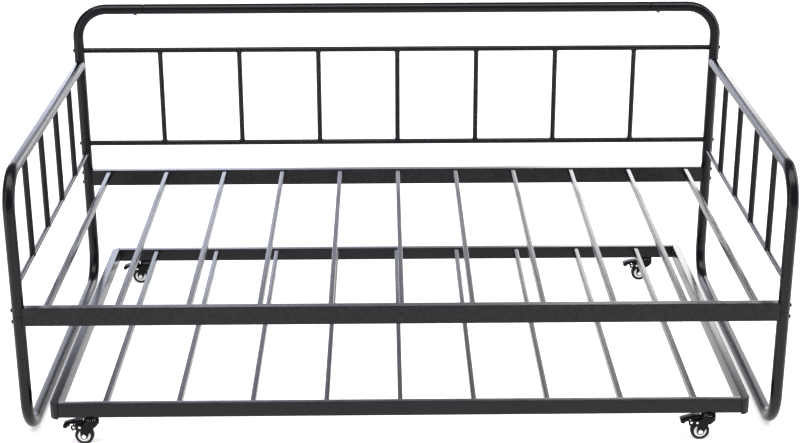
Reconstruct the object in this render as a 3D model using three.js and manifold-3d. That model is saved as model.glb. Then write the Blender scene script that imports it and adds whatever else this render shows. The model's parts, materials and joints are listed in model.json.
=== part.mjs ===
// Daybed of steel tube with a roll-out trundle underneath.
// Millimetres, +Z up, X along the bed, front towards -Y.
// The origin is on the floor, under the middle of the whole outline.

import * as THREE from 'three';
import { mergeVertices } from 'three/addons/utils/BufferGeometryUtils.js';
import Module from 'manifold-3d';

const wasm = await Module();
wasm.setup();

// ---------- driving dimensions ----------

// Daybed frame, measured between the centre lines of its posts
const bedLength = 1940;
const bedDepth = 1068;
const seamHeight = 348;
const armHeight = 712;
const armRailHeight = 427;
const backHeight = 884.5;

// Tubes
const postDiameter = 31.8;
const postWall = 1.5;
const bendRadius = 90;
const armRailDiameter = 14;
const armBalusterDiameter = 16.5;
const panelRailDiameter = 16;
const panelBalusterDiameter = 15;
const thinWall = 1.2;

// Joints between tubes
const jointGap = 0.3;
const spigotRadius = 12.7;
const spigotWall = 1.4;
const spigotReach = 30;
const spigotRoot = 20;
const topJointInset = 202;

// Back panel and arm balusters
const panelTopHeight = 757;
const panelLowHeight = 460;
const panelBays = 8;
const panelPitch = 241.5;
const armBays = 5;

// Seat deck
const seatRailHeight = 49;
const seatRailThickness = 23;
const seatRailWall = 1.5;
const seatSlatCount = 11;
const seatSlatPitch = 180.5;
const slatHeight = 20;
const slatWidth = 12.7;
const slatCorner = 2.5;
const slatWall = 1.1;
const slatDrop = 3;

// Trundle
const trundleLength = 1802;
const trundleDepth = 1089.5;
const trundleTop = 115;
const trundleRailHeight = 38;
const trundleRailThickness = 20;
const trundleSideHeight = 43;
const trundleSideThickness = 22;
const trundleCorner = 20;
const trundleWall = 1.5;
const trundleSlatCount = 9;
const trundleSlatPitch = 190;
const trundleForward = 21;
const trundleSideways = -5;

// Casters
const wheelRadius = 24.5;
const tyreWidth = 18;
const tyreShoulder = 4;
const coreRadius = 16.3;
const coreWidth = 17;
const coreDish = 3;
const hubRadius = 6.5;
const hubWidth = 20;
const axleRadius = 3;
const axleHeadRadius = 6.2;
const axleHeadHeight = 2.6;
const wheelTrail = 19.7;
const casterInset = 105;
const crownRadius = 20;
const crownTop = 69.5;
const crownBottom = 57.5;
const crownEdge = 2.5;
const kingpinRadius = 4.2;
const kingpinHeadRadius = 7;
const kingpinHeadHeight = 2.6;
const flangeRadius = 16;
const stemRadius = 5;
const stemReach = 24;
const forkPlate = 2.5;
const forkGap = 22;
const pedalWidth = 27;
const flangeSheet = 1.8;
const shoeWidth = 16;
const pivotPinRadius = 2;
const brakeGap = 1.5;
const pivotX = -29.3;
const pivotZ = 51;
const spacerX = -44.4;
const spacerZ = 51.5;
const rivetHeadRadius = 3.4;
const rivetHeadHeight = 1.2;
const hubFillet = 2;
const tyreCrown = 1;

// Caster outlines in side view: X from the swivel axis, Z from the floor
const forkFootRadius = 9;
const forkFootStart = -0.2;
const forkFootEnd = -Math.PI + 0.1;
const forkFrontEdge = [[14, 60], [18, 57.5], [3, 44]];
const forkBackEdge = [[-30, 44], [-43, 45], [-48, 40.5], [-52, 47], [-52, 56], [-20, 59]];
const treadTopEdge = [[-20.8, 70], [-42, 65.6], [-58, 61.8], [-68, 58.2], [-71.5, 54.5]];
const lipEdge = [[-71.3, 50.8], [-69, 48.8], [-63.5, 48.8], [-61.5, 51]];
const lipInnerEdge = [[-63.5, 52.6], [-64.8, 51.2], [-68, 51.2]];
const treadUnderEdge = [[-69, 53.4], [-66.4, 56], [-58, 59.2], [-42, 62.9], [-20.8, 67.4]];
const flangeUnderEdge = [[-70.9, 54], [-70.7, 51.2], [-68.5, 49.4], [-63, 49.4], [-58.5, 54.5], [-54, 55.5]];
const flangeTopEdge = [[-53.5, 61.8], [-58, 60.8], [-67.5, 57.3]];
const shoeBackEdge = [[-40, 48], [-38, 65], [-24, 68], [-26, 51], [-28.3, 48.4]];
const shoeStart = 0.69 * Math.PI;
const shoeEnd = 0.8 * Math.PI;

// Facets
const tubeSides = 16;
const boreSides = 8;
const thinSides = 12;
const thinBoreSides = 6;
const bendSteps = 7;
const tyreSides = 24;
const turnedSides = 16;
const holeSides = 6;
const cornerSteps = 5;

// A cut runs this far past the face that it opens
const cutPast = 1;

// ---------- places worked out from them ----------

const postRadius = postDiameter / 2;
const boreRadius = postRadius - postWall;
// The facets meet the floor flat, so the tube's centre is one apothem up
const floorRailHeight = postRadius * Math.cos(Math.PI / tubeSides);
const postX = bedLength / 2;
const postY = bedDepth / 2;
const seatTop = seamHeight + seatRailHeight / 2;

const trundleHalf = trundleLength / 2;
const trundleFront = -(postY + postRadius) - trundleForward;
const trundleBack = trundleFront + trundleDepth;
const trundleBottom = trundleTop - trundleRailHeight;
const casterX = trundleHalf - casterInset;
const casterFrontY = trundleFront + trundleRailThickness / 2;
const casterBackY = trundleBack - trundleRailThickness / 2;

const outlineFront = casterFrontY - crownRadius;
const outlineBack = postY + postRadius * Math.cos(Math.PI / tubeSides);

// ---------- materials ----------

const finish = {
  frame: { color: 0x2a2a2e, roughness: 0.38, metalness: 0.35 },
  slat: { color: 0x313136, roughness: 0.42, metalness: 0.35 },
  caster: { color: 0x161618, roughness: 0.45, metalness: 0.5 },
  tyre: { color: 0x0d0d0e, roughness: 0.75, metalness: 0 },
  core: { color: 0xd9dad8, roughness: 0.4, metalness: 0 },
  axle: { color: 0xc8c9cb, roughness: 0.25, metalness: 1 },
};

// ---------- solids ----------

function toManifold(geometry) {
  const bare = geometry.clone();
  bare.deleteAttribute('normal');
  bare.deleteAttribute('uv');
  const merged = mergeVertices(bare, 1e-4);
  return new wasm.Manifold(new wasm.Mesh({
    numProp: 3,
    vertProperties: new Float32Array(merged.attributes.position.array),
    triVerts: new Uint32Array(merged.index.array),
  }));
}

function toGeometry(solid) {
  const mesh = solid.getMesh();
  const shared = new THREE.BufferGeometry();
  shared.setAttribute('position', new THREE.BufferAttribute(mesh.vertProperties, 3));
  shared.setIndex(new THREE.BufferAttribute(mesh.triVerts, 1));
  const geometry = shared.toNonIndexed();
  geometry.computeVertexNormals();
  return geometry;
}

// Outer shapes joined, then everything in the second list cut away
function cutSolid(outers, cuts = []) {
  const joined = outers.map(toManifold).reduce((a, b) => a.add(b));
  return toGeometry(cuts.map(toManifold).reduce((a, b) => a.subtract(b), joined));
}

// ---------- paths and sections ----------

// A path that an extrusion visits only at chosen stations
class StationPath extends THREE.Curve {
  constructor(stations) {
    super();
    this.stations = stations;
    this.steps = stations.length - 1;
  }

  getPointAt(u, target = new THREE.Vector3()) {
    return target.copy(this.stations[Math.round(u * this.steps)].point);
  }

  getTangentAt(u, target = new THREE.Vector3()) {
    return target.copy(this.stations[Math.round(u * this.steps)].tangent);
  }
}

// Straight runs between the corners, each corner an arc of the given radius
function bentPath(corners, radius) {
  const heading = (a, b) => b.clone().sub(a).normalize();
  const stations = [{ point: corners[0], tangent: heading(corners[0], corners[1]) }];
  for (let i = 1; i < corners.length - 1; i++) {
    const into = heading(corners[i - 1], corners[i]);
    const out = heading(corners[i], corners[i + 1]);
    const turn = into.angleTo(out);
    const inward = out.clone().sub(into).normalize();
    const centre = corners[i].clone().addScaledVector(inward, radius / Math.cos(turn / 2));
    const start = corners[i].clone().addScaledVector(into, -radius * Math.tan(turn / 2));
    const spoke = start.sub(centre);
    const axis = into.clone().cross(out).normalize();
    for (let step = 0; step <= bendSteps; step++) {
      const angle = turn * step / bendSteps;
      stations.push({
        point: spoke.clone().applyAxisAngle(axis, angle).add(centre),
        tangent: into.clone().applyAxisAngle(axis, angle),
      });
    }
  }
  const last = corners.length - 1;
  stations.push({ point: corners[last], tangent: heading(corners[last - 1], corners[last]) });
  return new StationPath(stations);
}

// A regular polygon with flats, not corners, on its own axes
function roundSection(radius, facets) {
  const twist = Math.PI / facets;
  const corners = Array.from({ length: facets }, (_, i) => {
    const angle = twist + 2 * Math.PI * i / facets;
    return new THREE.Vector2(radius * Math.cos(angle), radius * Math.sin(angle));
  });
  return new THREE.Shape(corners);
}

function roundedRectangle(width, height, corner) {
  const x = width / 2;
  const y = height / 2;
  const shape = new THREE.Shape();
  shape.moveTo(-x + corner, -y);
  shape.lineTo(x - corner, -y);
  shape.absarc(x - corner, -y + corner, corner, -Math.PI / 2, 0);
  shape.lineTo(x, y - corner);
  shape.absarc(x - corner, y - corner, corner, 0, Math.PI / 2);
  shape.lineTo(-x + corner, y);
  shape.absarc(-x + corner, y - corner, corner, Math.PI / 2, Math.PI);
  shape.lineTo(-x, -y + corner);
  shape.absarc(-x + corner, -y + corner, corner, Math.PI, 1.5 * Math.PI);
  return shape;
}

function sweep(shape, corners, radius = bendRadius) {
  const path = bentPath(corners.map((c) => new THREE.Vector3(...c)), radius);
  const options = { steps: path.steps, extrudePath: path, bevelEnabled: false, curveSegments: 2 };
  return new THREE.ExtrudeGeometry(shape, options);
}

function hollow(shape, bore) {
  shape.holes.push(bore);
  return shape;
}

// A turned ring or disc about Z; the profile is radius and height pairs
function turned(profile, facets = turnedSides) {
  const points = profile.map(([r, z]) => new THREE.Vector2(r, z));
  return new THREE.LatheGeometry(points, facets).rotateX(Math.PI / 2);
}

// The same about Y, for wheels and axles
function turnedAcross(profile, facets = turnedSides) {
  const points = profile.map(([r, y]) => new THREE.Vector2(r, y));
  return new THREE.LatheGeometry(points, facets);
}

// A side-view outline in X and Z, given a thickness across Y
function plate(shape, width, centreY = 0, curveSegments = 3) {
  const options = { depth: width, bevelEnabled: false, curveSegments };
  const geometry = new THREE.ExtrudeGeometry(shape, options);
  return geometry.rotateX(Math.PI / 2).translate(0, centreY + width / 2, 0);
}

function outline(points) {
  return new THREE.Shape(points.map(([x, z]) => new THREE.Vector2(x, z)));
}

// Small round pin or hole in a plate, its flats at the given radius
function discShape(x, z, radius) {
  const shape = roundSection(radius / Math.cos(Math.PI / holeSides), holeSides);
  return new THREE.Shape(shape.getPoints().map((p) => p.add(new THREE.Vector2(x, z))));
}

// ---------- the assembly ----------

const bed = new THREE.Group();
bed.position.y = -(outlineFront + outlineBack) / 2;

// Parked a little off the bed's middle, as it rolled in
const trundle = new THREE.Group();
trundle.position.x = trundleSideways;
bed.add(trundle);

function addPart(name, look, geometry, parent = bed) {
  const mesh = new THREE.Mesh(geometry, new THREE.MeshStandardMaterial(finish[look]));
  mesh.name = name;
  parent.add(mesh);
  return mesh;
}

const sides = [['left', -1], ['right', 1]];

// ---------- tube frames ----------

const postTube = () => roundSection(postRadius, tubeSides);
const postBore = () => roundSection(boreRadius, boreSides);

// Sleeve that stands out of a tube's end and plugs into the next tube
function spigot() {
  const inner = spigotRadius - spigotWall;
  const root = boreRadius + postWall / 2;
  return turned([
    [inner, -spigotRoot],
    [root, -spigotRoot],
    [root, -2 * jointGap],
    [spigotRadius, -2 * jointGap],
    [spigotRadius, spigotReach],
    [inner, spigotReach],
    [inner, -spigotRoot],
  ], thinSides);
}

// Two legs and the floor rail between them, bent from one tube
function legFrame(side) {
  const x = side * postX;
  const top = seamHeight - jointGap / 2;
  const corners = [
    [x, -postY, top],
    [x, -postY, floorRailHeight],
    [x, postY, floorRailHeight],
    [x, postY, top],
  ];
  const tube = sweep(hollow(postTube(), postBore()), corners);
  const plugs = [-postY, postY].map((y) => spigot().translate(x, y, top));
  return cutSolid([tube, ...plugs]);
}

// Post behind the seat, bent inwards at the top to meet the top rail
function rearPost(side) {
  const corners = [
    [side * postX, postY, seamHeight + jointGap / 2],
    [side * postX, postY, backHeight],
    [side * (postX - topJointInset), postY, backHeight],
  ];
  return sweep(hollow(postTube(), postBore()), corners);
}

function topRail() {
  const end = postX - topJointInset - jointGap;
  const run = [[-end, postY, backHeight], [end, postY, backHeight]];
  const tube = sweep(hollow(postTube(), postBore()), run);
  const plugs = sides.map(([, side]) => (
    spigot().rotateY(side * Math.PI / 2).translate(side * end, postY, backHeight)
  ));
  return cutSolid([tube, ...plugs]);
}

// Front post and arm in one bent tube, with the low rail and balusters welded in
function armFrame(side) {
  const x = side * postX;
  const foot = seamHeight + jointGap / 2;
  const armRun = [[x, -postY, foot], [x, -postY, armHeight], [x, postY, armHeight]];
  const railRun = [[x, -postY, armRailHeight], [x, postY, armRailHeight]];
  const pitch = bedDepth / armBays;
  const balusterRuns = Array.from({ length: armBays - 1 }, (_, i) => {
    const y = -postY + pitch * (i + 1);
    return [[x, y, armRailHeight], [x, y, armHeight]];
  });
  const thin = (radius, facets) => (run) => sweep(roundSection(radius, facets), run);
  const balusterRadius = armBalusterDiameter / 2;
  const railRadius = armRailDiameter / 2;
  const outers = [
    sweep(postTube(), armRun),
    thin(railRadius, thinSides)(railRun),
    ...balusterRuns.map(thin(balusterRadius, thinSides)),
  ];
  const bores = [
    sweep(postBore(), [[x, -postY, foot - cutPast], ...armRun.slice(1)]),
    thin(railRadius - thinWall, thinBoreSides)(railRun),
    ...balusterRuns.map(thin(balusterRadius - thinWall, thinBoreSides)),
  ];
  const rearPostSpace = sweep(
    roundSection(postRadius + jointGap, tubeSides),
    [[x, postY, seamHeight], [x, postY, backHeight]],
  );
  return cutSolid(outers, [...bores, rearPostSpace]);
}

// Ladder of thin tube between the rear posts
function backPanel() {
  const thin = (radius, facets) => (run) => sweep(roundSection(radius, facets), run);
  const rails = [panelTopHeight, panelLowHeight].map((z) => [[-postX, postY, z], [postX, postY, z]]);
  const balusters = Array.from({ length: panelBays - 1 }, (_, i) => {
    const x = (i + 1 - panelBays / 2) * panelPitch;
    return [[x, postY, panelLowHeight], [x, postY, panelTopHeight]];
  });
  const railRadius = panelRailDiameter / 2;
  const balusterRadius = panelBalusterDiameter / 2;
  const postSpaces = sides.map(([, side]) => sweep(
    roundSection(postRadius + jointGap, tubeSides),
    [[side * postX, postY, seamHeight], [side * postX, postY, backHeight]],
  ));
  return cutSolid(
    [...rails.map(thin(railRadius, thinSides)), ...balusters.map(thin(balusterRadius, thinSides))],
    [
      ...rails.map(thin(railRadius - thinWall, thinBoreSides)),
      ...balusters.map(thin(balusterRadius - thinWall, thinBoreSides)),
      ...postSpaces,
    ],
  );
}

function addTubeFrames() {
  for (const [name, side] of sides) {
    addPart(`${name}_leg_frame`, 'frame', legFrame(side));
    addPart(`${name}_arm_frame`, 'frame', armFrame(side));
    addPart(`${name}_rear_post`, 'frame', rearPost(side));
  }
  addPart('top_rail', 'frame', topRail());
  addPart('back_panel', 'frame', backPanel());
}

// ---------- seat deck ----------

function boxTube(width, height, corner, wall) {
  const x = width / 2 - wall;
  const z = height / 2 - wall;
  return hollow(roundedRectangle(width, height, corner), outline([[-x, -z], [x, -z], [x, z], [-x, z]]));
}

// Rail of rectangular tube, its ends hollowed to fit round the posts
function seatRail(y) {
  const section = boxTube(seatRailHeight, seatRailThickness, slatCorner, seatRailWall);
  const tube = sweep(section, [[-postX, y, seamHeight], [postX, y, seamHeight]]);
  const postSpaces = sides.map(([, side]) => sweep(
    roundSection(postRadius + jointGap, tubeSides),
    [[side * postX, y, 0], [side * postX, y, armHeight]],
  ));
  return cutSolid([tube], postSpaces);
}

function slat(x, front, back, top) {
  const z = top - slatDrop - slatHeight / 2;
  const section = boxTube(slatHeight, slatWidth, slatCorner, slatWall);
  return sweep(section, [[x, front + jointGap, z], [x, back - jointGap, z]]);
}

function addSlats(name, count, pitch, front, back, top, parent) {
  for (let i = 0; i < count; i++) {
    const x = (i - (count - 1) / 2) * pitch;
    addPart(`${name}_${i + 1}`, 'slat', slat(x, front, back, top), parent);
  }
}

function addSeatDeck() {
  addPart('front_rail', 'frame', seatRail(-postY));
  addPart('rear_rail', 'frame', seatRail(postY));
  const inner = postY - seatRailThickness / 2;
  addSlats('seat_slat', seatSlatCount, seatSlatPitch, -inner, inner, seatTop, bed);
}

// ---------- trundle frame ----------

// Front or rear rail, with a hole in its underside for each caster stem
function trundleEndRail(y) {
  const end = trundleHalf - trundleSideThickness - jointGap;
  const section = boxTube(trundleRailHeight, trundleRailThickness, slatCorner, trundleWall);
  const z = trundleTop - trundleRailHeight / 2;
  const tube = sweep(section, [[-end, y, z], [end, y, z]]);
  const stemHoles = sides.map(([, side]) => sweep(
    roundSection(stemRadius + 2 * jointGap, thinSides),
    [[side * casterX, y, trundleBottom - cutPast], [side * casterX, y, z]],
  ));
  return cutSolid([tube], stemHoles);
}

// Plan of a side rail, square towards the bed and rounded at its outer corners
function sideRailPlan(inset) {
  const thickness = trundleSideThickness - 2 * inset;
  const front = trundleFront + inset;
  const back = trundleBack - inset;
  const corner = trundleCorner - inset;
  const plan = new THREE.Shape();
  plan.moveTo(0, front);
  plan.lineTo(thickness - corner, front);
  plan.absarc(thickness - corner, front + corner, corner, -Math.PI / 2, 0);
  plan.lineTo(thickness, back - corner);
  plan.absarc(thickness - corner, back - corner, corner, 0, Math.PI / 2);
  plan.lineTo(0, back);
  return plan;
}

// Rounded-end side rail, hollow, open where the front and rear rails join it
function trundleSideRail(side) {
  const inner = trundleHalf - trundleSideThickness;
  const bottom = trundleTop - trundleSideHeight;
  const extrude = (inset) => new THREE.ExtrudeGeometry(sideRailPlan(inset), {
    depth: trundleSideHeight - 2 * inset,
    bevelEnabled: false,
    curveSegments: cornerSteps,
  }).translate(inner + inset, 0, bottom + inset);
  const railZ = trundleTop - trundleRailHeight / 2;
  const windowDepth = 3 * trundleWall;
  const windows = [casterFrontY, casterBackY].map((y) => new THREE.BoxGeometry(
    2 * windowDepth,
    trundleRailThickness - 2 * trundleWall,
    trundleRailHeight - 2 * trundleWall,
  ).translate(inner, y, railZ));
  const rail = cutSolid([extrude(0)], [extrude(trundleWall), ...windows]);
  return side > 0 ? rail : rail.rotateZ(Math.PI).translate(0, trundleFront + trundleBack, 0);
}

function addTrundleFrame() {
  addPart('trundle_front_rail', 'frame', trundleEndRail(casterFrontY), trundle);
  addPart('trundle_rear_rail', 'frame', trundleEndRail(casterBackY), trundle);
  for (const [name, side] of sides) {
    addPart(`trundle_${name}_rail`, 'frame', trundleSideRail(side), trundle);
  }
  const front = trundleFront + trundleRailThickness;
  const back = trundleBack - trundleRailThickness;
  addSlats('trundle_slat', trundleSlatCount, trundleSlatPitch, front, back, trundleTop, trundle);
}

// ---------- casters, each about its own swivel axis ----------

const forkInner = forkGap / 2;
const forkOuter = forkInner + forkPlate;

// Threaded stem, upper race and riveted kingpin in one turned piece
function casterStem() {
  const flangeTop = trundleBottom - jointGap;
  const flangeBottom = crownTop + jointGap;
  const headTop = crownBottom - jointGap;
  return turned([
    [0, headTop - kingpinHeadHeight],
    [kingpinHeadRadius, headTop - kingpinHeadHeight],
    [kingpinHeadRadius, headTop],
    [kingpinRadius, headTop],
    [kingpinRadius, flangeBottom],
    [flangeRadius, flangeBottom],
    [flangeRadius, flangeTop],
    [stemRadius, flangeTop],
    [stemRadius, flangeTop + stemReach],
    [0, flangeTop + stemReach],
  ]);
}

// Pin across the fork with a head outside each leg
function rivet(x, z, play) {
  const shoulder = forkOuter + play;
  const heads = [-1, 1].map((s) => plate(
    discShape(x, z, rivetHeadRadius),
    rivetHeadHeight,
    s * (shoulder + rivetHeadHeight / 2),
  ));
  return [plate(discShape(x, z, pivotPinRadius), 2 * shoulder + rivetHeadHeight), ...heads];
}

// Crown and its two legs, with the spacer rivet behind the brake pivot
function casterFork() {
  const crown = turned([
    [kingpinRadius + jointGap, crownBottom],
    [crownRadius - crownEdge, crownBottom],
    [crownRadius, crownBottom + crownEdge],
    [crownRadius, crownTop - crownEdge],
    [crownRadius - crownEdge, crownTop],
    [kingpinRadius + jointGap, crownTop],
    [kingpinRadius + jointGap, crownBottom],
  ]);
  const leg = outline(forkFrontEdge);
  leg.absarc(-wheelTrail, wheelRadius, forkFootRadius, forkFootStart, forkFootEnd, true);
  forkBackEdge.forEach(([x, z]) => leg.lineTo(x, z));
  leg.holes.push(discShape(-wheelTrail, wheelRadius, axleRadius + jointGap));
  leg.holes.push(discShape(pivotX, pivotZ, pivotPinRadius + jointGap));
  const legs = [-1, 1].map((s) => plate(leg, forkPlate, s * (forkInner + forkPlate / 2)));
  return cutSolid([crown, ...legs, ...rivet(spacerX, spacerZ, 0)]);
}

// Axle bolt with a round head outside each leg
function casterAxle() {
  const shoulder = forkOuter + jointGap;
  const end = shoulder + axleHeadHeight;
  return turnedAcross([
    [0, -end],
    [axleHeadRadius, -end],
    [axleHeadRadius, -shoulder],
    [axleRadius, -shoulder],
    [axleRadius, shoulder],
    [axleHeadRadius, shoulder],
    [axleHeadRadius, end],
    [0, end],
  ], thinSides);
}

// Wheel centre: hub, dished web and the pale ring under the tyre
function wheelCore() {
  const bore = axleRadius + jointGap;
  const web = coreWidth / 2 - coreDish;
  return turnedAcross([
    [bore, -hubWidth / 2],
    [hubRadius, -hubWidth / 2],
    [hubRadius + hubFillet, -web],
    [hubRadius + 2 * hubFillet, -coreWidth / 2],
    [coreRadius, -coreWidth / 2],
    [coreRadius, coreWidth / 2],
    [hubRadius + 2 * hubFillet, coreWidth / 2],
    [hubRadius + hubFillet, web],
    [hubRadius, hubWidth / 2],
    [bore, hubWidth / 2],
    [bore, -hubWidth / 2],
  ]);
}

function tyre() {
  const inner = coreRadius + jointGap;
  const edge = tyreWidth / 2;
  return turnedAcross([
    [inner, -edge],
    [wheelRadius - tyreShoulder, -edge],
    [wheelRadius - tyreCrown, -edge + tyreShoulder / 2],
    [wheelRadius, -edge + tyreShoulder],
    [wheelRadius, edge - tyreShoulder],
    [wheelRadius - tyreCrown, edge - tyreShoulder / 2],
    [wheelRadius - tyreShoulder, edge],
    [inner, edge],
    [inner, -edge],
  ], tyreSides);
}

// Foot lever: pressed tread with a curled lip between two flanges, brake shoe and the pivot rivet
function brakePedal() {
  const tread = outline([...treadTopEdge, ...lipEdge, ...lipInnerEdge, ...treadUnderEdge]);
  const shoe = new THREE.Shape();
  shoe.absarc(-wheelTrail, wheelRadius, wheelRadius + brakeGap, shoeStart, shoeEnd);
  shoeBackEdge.forEach(([x, z]) => shoe.lineTo(x, z));
  const flange = outline([...flangeUnderEdge, ...flangeTopEdge]);
  const flangeY = (pedalWidth - flangeSheet) / 2;
  const flanges = [-flangeY, flangeY].map((y) => plate(flange, flangeSheet, y));
  const pin = rivet(pivotX, pivotZ, jointGap);
  return cutSolid([plate(tread, pedalWidth), ...flanges, plate(shoe, shoeWidth), ...pin]);
}

function addCaster(name, x, y) {
  const caster = new THREE.Group();
  caster.position.set(x, y, 0);
  trundle.add(caster);
  const add = (piece, look, geometry) => addPart(`${name}_${piece}`, look, geometry, caster);
  const onAxle = (mesh) => mesh.position.set(-wheelTrail, 0, wheelRadius);
  add('stem', 'axle', casterStem());
  add('fork', 'caster', casterFork());
  onAxle(add('axle', 'axle', casterAxle()));
  onAxle(add('wheel_core', 'core', wheelCore()));
  onAxle(add('tyre', 'tyre', tyre()));
  add('brake_pedal', 'caster', brakePedal());
}

function addCasters() {
  for (const [name, side] of sides) {
    addCaster(`caster_front_${name}`, side * casterX, casterFrontY);
    addCaster(`caster_rear_${name}`, side * casterX, casterBackY);
  }
}

addTubeFrames();
addSeatDeck();
addTrundleFrame();
addCasters();

export default bed;
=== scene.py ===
"""Steel tube daybed with a roll-out trundle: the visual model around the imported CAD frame.

Metres, +Z up, X along the bed, front towards -Y, as in the CAD.
"""

import json
import math

import bmesh
import bpy
from mathutils import Matrix, Vector


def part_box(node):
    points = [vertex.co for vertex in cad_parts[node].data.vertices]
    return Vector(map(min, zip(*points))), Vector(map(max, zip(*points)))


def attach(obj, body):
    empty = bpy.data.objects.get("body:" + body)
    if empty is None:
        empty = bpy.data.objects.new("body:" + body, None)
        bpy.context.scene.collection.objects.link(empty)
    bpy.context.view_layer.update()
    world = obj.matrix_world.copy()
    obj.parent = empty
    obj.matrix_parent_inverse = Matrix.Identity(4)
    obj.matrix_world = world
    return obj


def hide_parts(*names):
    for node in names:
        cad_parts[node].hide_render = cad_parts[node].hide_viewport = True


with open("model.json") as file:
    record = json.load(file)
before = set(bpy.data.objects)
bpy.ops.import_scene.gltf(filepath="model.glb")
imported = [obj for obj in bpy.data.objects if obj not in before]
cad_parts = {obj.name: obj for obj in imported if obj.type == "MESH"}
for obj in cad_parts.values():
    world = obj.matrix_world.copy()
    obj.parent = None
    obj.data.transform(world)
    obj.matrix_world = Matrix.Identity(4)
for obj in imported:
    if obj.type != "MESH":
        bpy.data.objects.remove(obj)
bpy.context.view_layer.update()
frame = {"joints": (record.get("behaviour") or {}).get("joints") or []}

X = Vector((1, 0, 0))
Y = Vector((0, 1, 0))
Z = Vector((0, 0, 1))

# ---------- sizes that the CAD boxes don't give ----------

BEND_RADIUS = 0.090
ARM_LOW_RAIL_Z = 0.427
ARM_LOW_RAIL_R = 0.007
ARM_BALUSTER_R = 0.00825
ARM_BAYS = 5
PANEL_RAIL_R = 0.008
PANEL_BALUSTER_R = 0.0075
PANEL_BAYS = 8
PANEL_PITCH = 0.2415
BOX_CORNER = 0.0014
TRUNDLE_CORNER = 0.020
SEAT_SLATS = 11
TRUNDLE_SLATS = 9

# Joints, welds and small gaps
SEAM_CHAMFER = 0.0012
TOP_SEAM_CHAMFER = 0.0018
CUT_CHAMFER = 0.0004
COPE_BITE = 0.0004
WELD_SIZE = 0.0042
SLAT_WELD_SIZE = 0.0016
SADDLE_SHEET = 0.0024
SADDLE_SPAN = math.radians(50)
SEAM_GAP = 0.00015
SLAT_GAP = 0.0003
WELD_ROOT = 0.0008

# Places of screws, bolts and seam buttons
SEAT_BOLT_OFFSET = 0.0155
SCREW_PAST_SEAM = 0.025
CORNER_BOLT_INSET = 0.015
RAIL_SCREWS = {"front_rail": ("daybed", 0.004), "trundle_front_rail": ("trundle", 0.001)}
BUTTON_TURN = math.radians(18)

# Heads of screws and bolts: radius, height, half the size of the recess, how far the foot is sunk
POST_BOLT = (0.0056, 0.0036, 0.0020, 0.0014)
PAN_SCREW = (0.0052, 0.0034, 0.0024, 0.0012)
FLANGED_SCREW = (0.0043, 0.0016, 0.0022, 0.0006)
CORNER_BOLT = (0.0045, 0.0028, 0.0018, 0.0006)
CORNER_BOLT_UNDER = (0.0045, 0.0034, 0.0018, 0.0006)
SCREW_FLANGE = [(0, -0.0005), (0.0054, -0.0005), (0.0056, -0.0002), (0.0054, 0.0001), (0, 0.0001)]
SCREW_FLANGE_LIFT = 0.0004
SEAM_BUTTON = [
    (0, -0.001), (0.003, -0.001), (0.003, 0.0007), (0.0024, 0.0015), (0.0012, 0.0019), (0, 0.002),
]

# Casters, each from its swivel axis and the floor
FORK_INNER = 0.0110
FORK_OUTER = 0.0135
FORK_FOOT_R = 0.009
FORK_FRONT = [(-0.016, 0.0645), (0.0150, 0.0645), (0.0178, 0.0590), (0.0160, 0.0560), (0.0030, 0.0440)]
FORK_BACK = [
    (-0.030, 0.044), (-0.043, 0.045), (-0.048, 0.0405), (-0.052, 0.047), (-0.052, 0.056), (-0.022, 0.059),
]
SPACER = (-0.0444, 0.0515)
CROWN = [
    (0.0045, 0.0670), (0.0158, 0.0670), (0.0175, 0.0653), (0.0175, 0.0580), (0.0180, 0.0575),
    (0.0194, 0.0575), (0.0200, 0.0581), (0.0200, 0.0655), (0.0195, 0.0680), (0.0182, 0.0693),
    (0.0168, 0.0695), (0.0160, 0.0690), (0.0148, 0.0690), (0.0140, 0.0695), (0.0045, 0.0695),
    (0.0045, 0.0670),
]
KINGPIN = [
    (0, 0.0540), (0.0040, 0.0542), (0.0062, 0.0552), (0.0070, 0.0565), (0.0070, 0.0572), (0.0042, 0.0574),
    (0.0042, 0.0740), (0.0050, 0.0745), (0.0050, 0.0990), (0.0042, 0.1005), (0, 0.1005),
]
UPPER_RACE = [
    (0.0047, 0.0716), (0.0132, 0.0716), (0.0140, 0.0722), (0.0148, 0.0727), (0.0160, 0.0727),
    (0.0168, 0.0722), (0.0178, 0.0718), (0.0188, 0.0722), (0.0192, 0.0730), (0.0188, 0.0738),
    (0.0172, 0.0752), (0.0158, 0.0766), (0.0047, 0.0767), (0.0047, 0.0716),
]
FORK_FRONT_ROUND = 0.003
FORK_BACK_ROUND = 0.0025
FORK_FOOT_ANGLES = (-0.25, 0.1 - math.pi)
FORK_SWELL = [(0, 0), (0.0070, 0), (0.0070, 0.0002), (0.0062, 0.0004), (0, 0.0004)]
BALLS = 16
BALL_R = 0.0017
BALL_RING = 0.0154
BALL_Z = 0.07085
AXLE = [
    (0, -0.0152), (0.0016, -0.0152), (0.0024, -0.0163), (0.0044, -0.0163), (0.0057, -0.0156),
    (0.0062, -0.0146), (0.0062, -0.0139), (0.0030, -0.0139), (0.0030, 0.0150), (0, 0.0150),
]
AXLE_WASHER = [(0.0031, 0.0139), (0.0062, 0.0139), (0.0062, 0.0146), (0.0031, 0.0146), (0.0031, 0.0139)]
CORE_R = 0.0163
CORE_HALF = [
    (0.0033, -0.0100), (0.0060, -0.0100), (0.0066, -0.0095), (0.0074, -0.0062), (0.0080, -0.0056),
    (0.0096, -0.0056), (0.0102, -0.0062), (0.0107, -0.0082), (0.0112, -0.0087), (0.0146, -0.0087),
    (0.0149, -0.0084), (0.0153, -0.0084), (0.0156, -0.0087), (0.0160, -0.0087), (CORE_R, -0.0082),
]
TYRE_R = 0.0245
TYRE_HALF = 0.009
TYRE_SHOULDER = 0.004
TYRE_LIP = [(CORE_R + 0.0001, -TYRE_HALF + 0.0003), (CORE_R + 0.0012, -TYRE_HALF)]
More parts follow.
